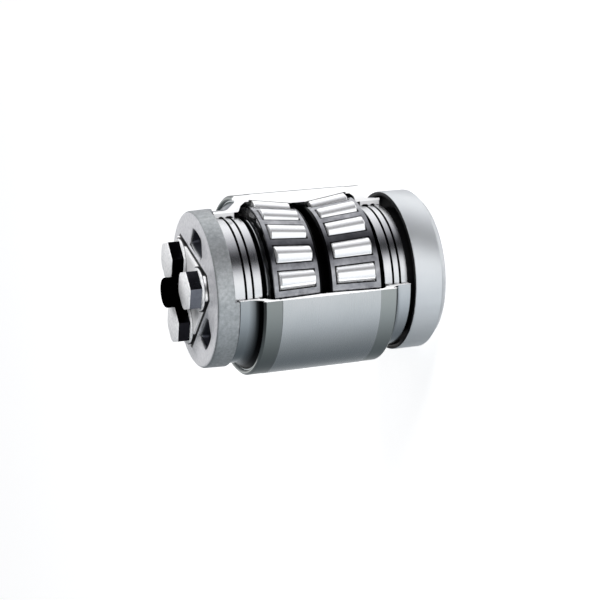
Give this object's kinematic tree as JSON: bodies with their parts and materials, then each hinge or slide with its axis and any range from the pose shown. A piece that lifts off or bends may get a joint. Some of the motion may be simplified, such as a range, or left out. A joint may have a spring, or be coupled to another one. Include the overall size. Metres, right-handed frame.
{
  "type": "railway axle bearing",
  "caption": "Cut-away double-row tapered roller bearing unit for a railway axle, with seals, grooved wear rings, backing ring, cast end cap, locking plate and screws",
  "frame": {"origin": "on the bearing axis, in the plane of the backing ring's flat back, which the unit stands on", "axes": "+Z along the bearing axis from the backing ring to the end cap; the cut-away quarter faces -Y and +X, and one cap screw is at -Y"},
  "size_m": [0.23, 0.2275, 0.345],
  "materials": {
    "cup_steel": "ground bearing steel with a satin sheen",
    "race_steel": "ground and polished bearing steel",
    "roller_steel": "superfinished bearing steel, nearly a mirror",
    "cage_steel": "pressed sheet steel, dark and satin",
    "seal_case_steel": "pressed sheet steel, phosphated",
    "seal_rubber": "black nitrile rubber",
    "cast_steel": "sand casting with a fine grain, light blue-grey coat",
    "backing_steel": "turned forging, light grey",
    "screw_steel": "forged hexagon heads with machined faces",
    "plate_steel": "bright zinc plated sheet",
    "plug_black": "black finish"
  },
  "bodies": {
    "inner_stack": {"backing_ring": "backing_steel", "wear_ring_inboard": "race_steel", "cone_inboard": "race_steel", "cone_spacer": "race_steel", "cone_outboard": "race_steel", "wear_ring_outboard": "race_steel", "end_cap": "cast_steel", "locking_plate": "plate_steel", "centre_plug": "plug_black", "cap_screw_1": "screw_steel", "cap_screw_2": "screw_steel", "cap_screw_3": "screw_steel"},
    "cup_assembly": {"cup": "cup_steel", "seal_case_inboard": "seal_case_steel", "seal_case_outboard": "seal_case_steel", "seal_lip_inboard": "seal_rubber", "seal_lip_outboard": "seal_rubber"},
    "cage_inboard": {"cage_inboard": "cage_steel"},
    "roller_inboard_01": {"roller_inboard_01": "roller_steel"},
    "roller_inboard_02": {"roller_inboard_02": "roller_steel"},
    "roller_inboard_03": {"roller_inboard_03": "roller_steel"},
    "roller_inboard_04": {"roller_inboard_04": "roller_steel"},
    "roller_inboard_05": {"roller_inboard_05": "roller_steel"},
    "roller_inboard_06": {"roller_inboard_06": "roller_steel"},
    "roller_inboard_07": {"roller_inboard_07": "roller_steel"},
    "roller_inboard_08": {"roller_inboard_08": "roller_steel"},
    "roller_inboard_09": {"roller_inboard_09": "roller_steel"},
    "roller_inboard_10": {"roller_inboard_10": "roller_steel"},
    "roller_inboard_11": {"roller_inboard_11": "roller_steel"},
    "roller_inboard_12": {"roller_inboard_12": "roller_steel"},
    "roller_inboard_13": {"roller_inboard_13": "roller_steel"},
    "roller_inboard_14": {"roller_inboard_14": "roller_steel"},
    "roller_inboard_15": {"roller_inboard_15": "roller_steel"},
    "roller_inboard_16": {"roller_inboard_16": "roller_steel"},
    "roller_inboard_17": {"roller_inboard_17": "roller_steel"},
    "roller_inboard_18": {"roller_inboard_18": "roller_steel"},
    "roller_inboard_19": {"roller_inboard_19": "roller_steel"},
    "cage_outboard": {"cage_outboard": "cage_steel"},
    "roller_outboard_01": {"roller_outboard_01": "roller_steel"},
    "roller_outboard_02": {"roller_outboard_02": "roller_steel"},
    "roller_outboard_03": {"roller_outboard_03": "roller_steel"},
    "roller_outboard_04": {"roller_outboard_04": "roller_steel"},
    "roller_outboard_05": {"roller_outboard_05": "roller_steel"},
    "roller_outboard_06": {"roller_outboard_06": "roller_steel"},
    "roller_outboard_07": {"roller_outboard_07": "roller_steel"},
    "roller_outboard_08": {"roller_outboard_08": "roller_steel"},
    "roller_outboard_09": {"roller_outboard_09": "roller_steel"},
    "roller_outboard_10": {"roller_outboard_10": "roller_steel"},
    "roller_outboard_11": {"roller_outboard_11": "roller_steel"},
    "roller_outboard_12": {"roller_outboard_12": "roller_steel"},
    "roller_outboard_13": {"roller_outboard_13": "roller_steel"},
    "roller_outboard_14": {"roller_outboard_14": "roller_steel"},
    "roller_outboard_15": {"roller_outboard_15": "roller_steel"},
    "roller_outboard_16": {"roller_outboard_16": "roller_steel"},
    "roller_outboard_17": {"roller_outboard_17": "roller_steel"},
    "roller_outboard_18": {"roller_outboard_18": "roller_steel"},
    "roller_outboard_19": {"roller_outboard_19": "roller_steel"}
  },
  "joints": [
    {"name": "cup_spin", "type": "hinge", "parent": "inner_stack", "child": "cup_assembly", "pos_m": [0, 0, 0.163], "axis": [0, 0, 1], "continuous": true},
    {"name": "cage_inboard_spin", "type": "hinge", "parent": "inner_stack", "child": "cage_inboard", "pos_m": [0, 0, 0.125], "axis": [0, 0, 1], "continuous": true},
    {"name": "roller_inboard_01_spin", "type": "hinge", "parent": "cage_inboard", "child": "roller_inboard_01", "pos_m": [0, -0.09211, 0.12341], "axis": [0, 0.1307, 0.9914], "continuous": true},
    {"name": "roller_inboard_02_spin", "type": "hinge", "parent": "cage_inboard", "child": "roller_inboard_02", "pos_m": [0.02991, -0.08711, 0.12341], "axis": [-0.0424, 0.1236, 0.9914], "continuous": true},
    {"name": "roller_inboard_03_spin", "type": "hinge", "parent": "cage_inboard", "child": "roller_inboard_03", "pos_m": [0.05657, -0.07268, 0.12341], "axis": [-0.0803, 0.1031, 0.9914], "continuous": true},
    {"name": "roller_inboard_04_spin", "type": "hinge", "parent": "cage_inboard", "child": "roller_inboard_04", "pos_m": [0.07711, -0.05038, 0.12341], "axis": [-0.1094, 0.0715, 0.9914], "continuous": true},
    {"name": "roller_inboard_05_spin", "type": "hinge", "parent": "cage_inboard", "child": "roller_inboard_05", "pos_m": [0.08929, -0.02261, 0.12341], "axis": [-0.1267, 0.0321, 0.9914], "continuous": true},
    {"name": "roller_inboard_06_spin", "type": "hinge", "parent": "cage_inboard", "child": "roller_inboard_06", "pos_m": [0.09179, 0.00761, 0.12341], "axis": [-0.1302, -0.0108, 0.9914], "continuous": true},
    {"name": "roller_inboard_07_spin", "type": "hinge", "parent": "cage_inboard", "child": "roller_inboard_07", "pos_m": [0.08435, 0.037, 0.12341], "axis": [-0.1197, -0.0525, 0.9914], "continuous": true},
    {"name": "roller_inboard_08_spin", "type": "hinge", "parent": "cage_inboard", "child": "roller_inboard_08", "pos_m": [0.06776, 0.06238, 0.12341], "axis": [-0.0961, -0.0885, 0.9914], "continuous": true},
    {"name": "roller_inboard_09_spin", "type": "hinge", "parent": "cage_inboard", "child": "roller_inboard_09", "pos_m": [0.04384, 0.081, 0.12341], "axis": [-0.0622, -0.1149, 0.9914], "continuous": true},
    {"name": "roller_inboard_10_spin", "type": "hinge", "parent": "cage_inboard", "child": "roller_inboard_10", "pos_m": [0.01516, 0.09085, 0.12341], "axis": [-0.0215, -0.1289, 0.9914], "continuous": true},
    {"name": "roller_inboard_11_spin", "type": "hinge", "parent": "cage_inboard", "child": "roller_inboard_11", "pos_m": [-0.01516, 0.09085, 0.12341], "axis": [0.0215, -0.1289, 0.9914], "continuous": true},
    {"name": "roller_inboard_12_spin", "type": "hinge", "parent": "cage_inboard", "child": "roller_inboard_12", "pos_m": [-0.04384, 0.081, 0.12341], "axis": [0.0622, -0.1149, 0.9914], "continuous": true},
    {"name": "roller_inboard_13_spin", "type": "hinge", "parent": "cage_inboard", "child": "roller_inboard_13", "pos_m": [-0.06776, 0.06238, 0.12341], "axis": [0.0961, -0.0885, 0.9914], "continuous": true},
    {"name": "roller_inboard_14_spin", "type": "hinge", "parent": "cage_inboard", "child": "roller_inboard_14", "pos_m": [-0.08435, 0.037, 0.12341], "axis": [0.1197, -0.0525, 0.9914], "continuous": true},
    {"name": "roller_inboard_15_spin", "type": "hinge", "parent": "cage_inboard", "child": "roller_inboard_15", "pos_m": [-0.09179, 0.00761, 0.12341], "axis": [0.1302, -0.0108, 0.9914], "continuous": true},
    {"name": "roller_inboard_16_spin", "type": "hinge", "parent": "cage_inboard", "child": "roller_inboard_16", "pos_m": [-0.08929, -0.02261, 0.12341], "axis": [0.1267, 0.0321, 0.9914], "continuous": true},
    {"name": "roller_inboard_17_spin", "type": "hinge", "parent": "cage_inboard", "child": "roller_inboard_17", "pos_m": [-0.07711, -0.05038, 0.12341], "axis": [0.1094, 0.0715, 0.9914], "continuous": true},
    {"name": "roller_inboard_18_spin", "type": "hinge", "parent": "cage_inboard", "child": "roller_inboard_18", "pos_m": [-0.05657, -0.07268, 0.12341], "axis": [0.0803, 0.1031, 0.9914], "continuous": true},
    {"name": "roller_inboard_19_spin", "type": "hinge", "parent": "cage_inboard", "child": "roller_inboard_19", "pos_m": [-0.02991, -0.08711, 0.12341], "axis": [0.0424, 0.1236, 0.9914], "continuous": true},
    {"name": "cage_outboard_spin", "type": "hinge", "parent": "inner_stack", "child": "cage_outboard", "pos_m": [0, 0, 0.201], "axis": [0, 0, 1], "continuous": true},
    {"name": "roller_outboard_01_spin", "type": "hinge", "parent": "cage_outboard", "child": "roller_outboard_01", "pos_m": [0, -0.09211, 0.20259], "axis": [0, -0.1307, 0.9914], "continuous": true},
    {"name": "roller_outboard_02_spin", "type": "hinge", "parent": "cage_outboard", "child": "roller_outboard_02", "pos_m": [0.02991, -0.08711, 0.20259], "axis": [0.0424, -0.1236, 0.9914], "continuous": true},
    {"name": "roller_outboard_03_spin", "type": "hinge", "parent": "cage_outboard", "child": "roller_outboard_03", "pos_m": [0.05657, -0.07268, 0.20259], "axis": [0.0803, -0.1031, 0.9914], "continuous": true},
    {"name": "roller_outboard_04_spin", "type": "hinge", "parent": "cage_outboard", "child": "roller_outboard_04", "pos_m": [0.07711, -0.05038, 0.20259], "axis": [0.1094, -0.0715, 0.9914], "continuous": true},
    {"name": "roller_outboard_05_spin", "type": "hinge", "parent": "cage_outboard", "child": "roller_outboard_05", "pos_m": [0.08929, -0.02261, 0.20259], "axis": [0.1267, -0.0321, 0.9914], "continuous": true},
    {"name": "roller_outboard_06_spin", "type": "hinge", "parent": "cage_outboard", "child": "roller_outboard_06", "pos_m": [0.09179, 0.00761, 0.20259], "axis": [0.1302, 0.0108, 0.9914], "continuous": true},
    {"name": "roller_outboard_07_spin", "type": "hinge", "parent": "cage_outboard", "child": "roller_outboard_07", "pos_m": [0.08435, 0.037, 0.20259], "axis": [0.1197, 0.0525, 0.9914], "continuous": true},
    {"name": "roller_outboard_08_spin", "type": "hinge", "parent": "cage_outboard", "child": "roller_outboard_08", "pos_m": [0.06776, 0.06238, 0.20259], "axis": [0.0961, 0.0885, 0.9914], "continuous": true},
    {"name": "roller_outboard_09_spin", "type": "hinge", "parent": "cage_outboard", "child": "roller_outboard_09", "pos_m": [0.04384, 0.081, 0.20259], "axis": [0.0622, 0.1149, 0.9914], "continuous": true},
    {"name": "roller_outboard_10_spin", "type": "hinge", "parent": "cage_outboard", "child": "roller_outboard_10", "pos_m": [0.01516, 0.09085, 0.20259], "axis": [0.0215, 0.1289, 0.9914], "continuous": true},
    {"name": "roller_outboard_11_spin", "type": "hinge", "parent": "cage_outboard", "child": "roller_outboard_11", "pos_m": [-0.01516, 0.09085, 0.20259], "axis": [-0.0215, 0.1289, 0.9914], "continuous": true},
    {"name": "roller_outboard_12_spin", "type": "hinge", "parent": "cage_outboard", "child": "roller_outboard_12", "pos_m": [-0.04384, 0.081, 0.20259], "axis": [-0.0622, 0.1149, 0.9914], "continuous": true},
    {"name": "roller_outboard_13_spin", "type": "hinge", "parent": "cage_outboard", "child": "roller_outboard_13", "pos_m": [-0.06776, 0.06238, 0.20259], "axis": [-0.0961, 0.0885, 0.9914], "continuous": true},
    {"name": "roller_outboard_14_spin", "type": "hinge", "parent": "cage_outboard", "child": "roller_outboard_14", "pos_m": [-0.08435, 0.037, 0.20259], "axis": [-0.1197, 0.0525, 0.9914], "continuous": true},
    {"name": "roller_outboard_15_spin", "type": "hinge", "parent": "cage_outboard", "child": "roller_outboard_15", "pos_m": [-0.09179, 0.00761, 0.20259], "axis": [-0.1302, 0.0108, 0.9914], "continuous": true},
    {"name": "roller_outboard_16_spin", "type": "hinge", "parent": "cage_outboard", "child": "roller_outboard_16", "pos_m": [-0.08929, -0.02261, 0.20259], "axis": [-0.1267, -0.0321, 0.9914], "continuous": true},
    {"name": "roller_outboard_17_spin", "type": "hinge", "parent": "cage_outboard", "child": "roller_outboard_17", "pos_m": [-0.07711, -0.05038, 0.20259], "axis": [-0.1094, -0.0715, 0.9914], "continuous": true},
    {"name": "roller_outboard_18_spin", "type": "hinge", "parent": "cage_outboard", "child": "roller_outboard_18", "pos_m": [-0.05657, -0.07268, 0.20259], "axis": [-0.0803, -0.1031, 0.9914], "continuous": true},
    {"name": "roller_outboard_19_spin", "type": "hinge", "parent": "cage_outboard", "child": "roller_outboard_19", "pos_m": [-0.02991, -0.08711, 0.20259], "axis": [-0.0424, -0.1236, 0.9914], "continuous": true}
  ],
  "couplings": [
    {"joint": "cage_inboard_spin", "follows": "cup_spin", "ratio": 0.56566},
    {"joint": "roller_inboard_01_spin", "follows": "cup_spin", "ratio": 3.7097},
    {"joint": "roller_inboard_02_spin", "follows": "cup_spin", "ratio": 3.7097},
    {"joint": "roller_inboard_03_spin", "follows": "cup_spin", "ratio": 3.7097},
    {"joint": "roller_inboard_04_spin", "follows": "cup_spin", "ratio": 3.7097},
    {"joint": "roller_inboard_05_spin", "follows": "cup_spin", "ratio": 3.7097},
    {"joint": "roller_inboard_06_spin", "follows": "cup_spin", "ratio": 3.7097},
    {"joint": "roller_inboard_07_spin", "follows": "cup_spin", "ratio": 3.7097},
    {"joint": "roller_inboard_08_spin", "follows": "cup_spin", "ratio": 3.7097},
    {"joint": "roller_inboard_09_spin", "follows": "cup_spin", "ratio": 3.7097},
    {"joint": "roller_inboard_10_spin", "follows": "cup_spin", "ratio": 3.7097},
    {"joint": "roller_inboard_11_spin", "follows": "cup_spin", "ratio": 3.7097},
    {"joint": "roller_inboard_12_spin", "follows": "cup_spin", "ratio": 3.7097},
    {"joint": "roller_inboard_13_spin", "follows": "cup_spin", "ratio": 3.7097},
    {"joint": "roller_inboard_14_spin", "follows": "cup_spin", "ratio": 3.7097},
    {"joint": "roller_inboard_15_spin", "follows": "cup_spin", "ratio": 3.7097},
    {"joint": "roller_inboard_16_spin", "follows": "cup_spin", "ratio": 3.7097},
    {"joint": "roller_inboard_17_spin", "follows": "cup_spin", "ratio": 3.7097},
    {"joint": "roller_inboard_18_spin", "follows": "cup_spin", "ratio": 3.7097},
    {"joint": "roller_inboard_19_spin", "follows": "cup_spin", "ratio": 3.7097},
    {"joint": "cage_outboard_spin", "follows": "cup_spin", "ratio": 0.56566},
    {"joint": "roller_outboard_01_spin", "follows": "cup_spin", "ratio": 3.7097},
    {"joint": "roller_outboard_02_spin", "follows": "cup_spin", "ratio": 3.7097},
    {"joint": "roller_outboard_03_spin", "follows": "cup_spin", "ratio": 3.7097},
    {"joint": "roller_outboard_04_spin", "follows": "cup_spin", "ratio": 3.7097},
    {"joint": "roller_outboard_05_spin", "follows": "cup_spin", "ratio": 3.7097},
    {"joint": "roller_outboard_06_spin", "follows": "cup_spin", "ratio": 3.7097},
    {"joint": "roller_outboard_07_spin", "follows": "cup_spin", "ratio": 3.7097},
    {"joint": "roller_outboard_08_spin", "follows": "cup_spin", "ratio": 3.7097},
    {"joint": "roller_outboard_09_spin", "follows": "cup_spin", "ratio": 3.7097},
    {"joint": "roller_outboard_10_spin", "follows": "cup_spin", "ratio": 3.7097},
    {"joint": "roller_outboard_11_spin", "follows": "cup_spin", "ratio": 3.7097},
    {"joint": "roller_outboard_12_spin", "follows": "cup_spin", "ratio": 3.7097},
    {"joint": "roller_outboard_13_spin", "follows": "cup_spin", "ratio": 3.7097},
    {"joint": "roller_outboard_14_spin", "follows": "cup_spin", "ratio": 3.7097},
    {"joint": "roller_outboard_15_spin", "follows": "cup_spin", "ratio": 3.7097},
    {"joint": "roller_outboard_16_spin", "follows": "cup_spin", "ratio": 3.7097},
    {"joint": "roller_outboard_17_spin", "follows": "cup_spin", "ratio": 3.7097},
    {"joint": "roller_outboard_18_spin", "follows": "cup_spin", "ratio": 3.7097},
    {"joint": "roller_outboard_19_spin", "follows": "cup_spin", "ratio": 3.7097}
  ]
}
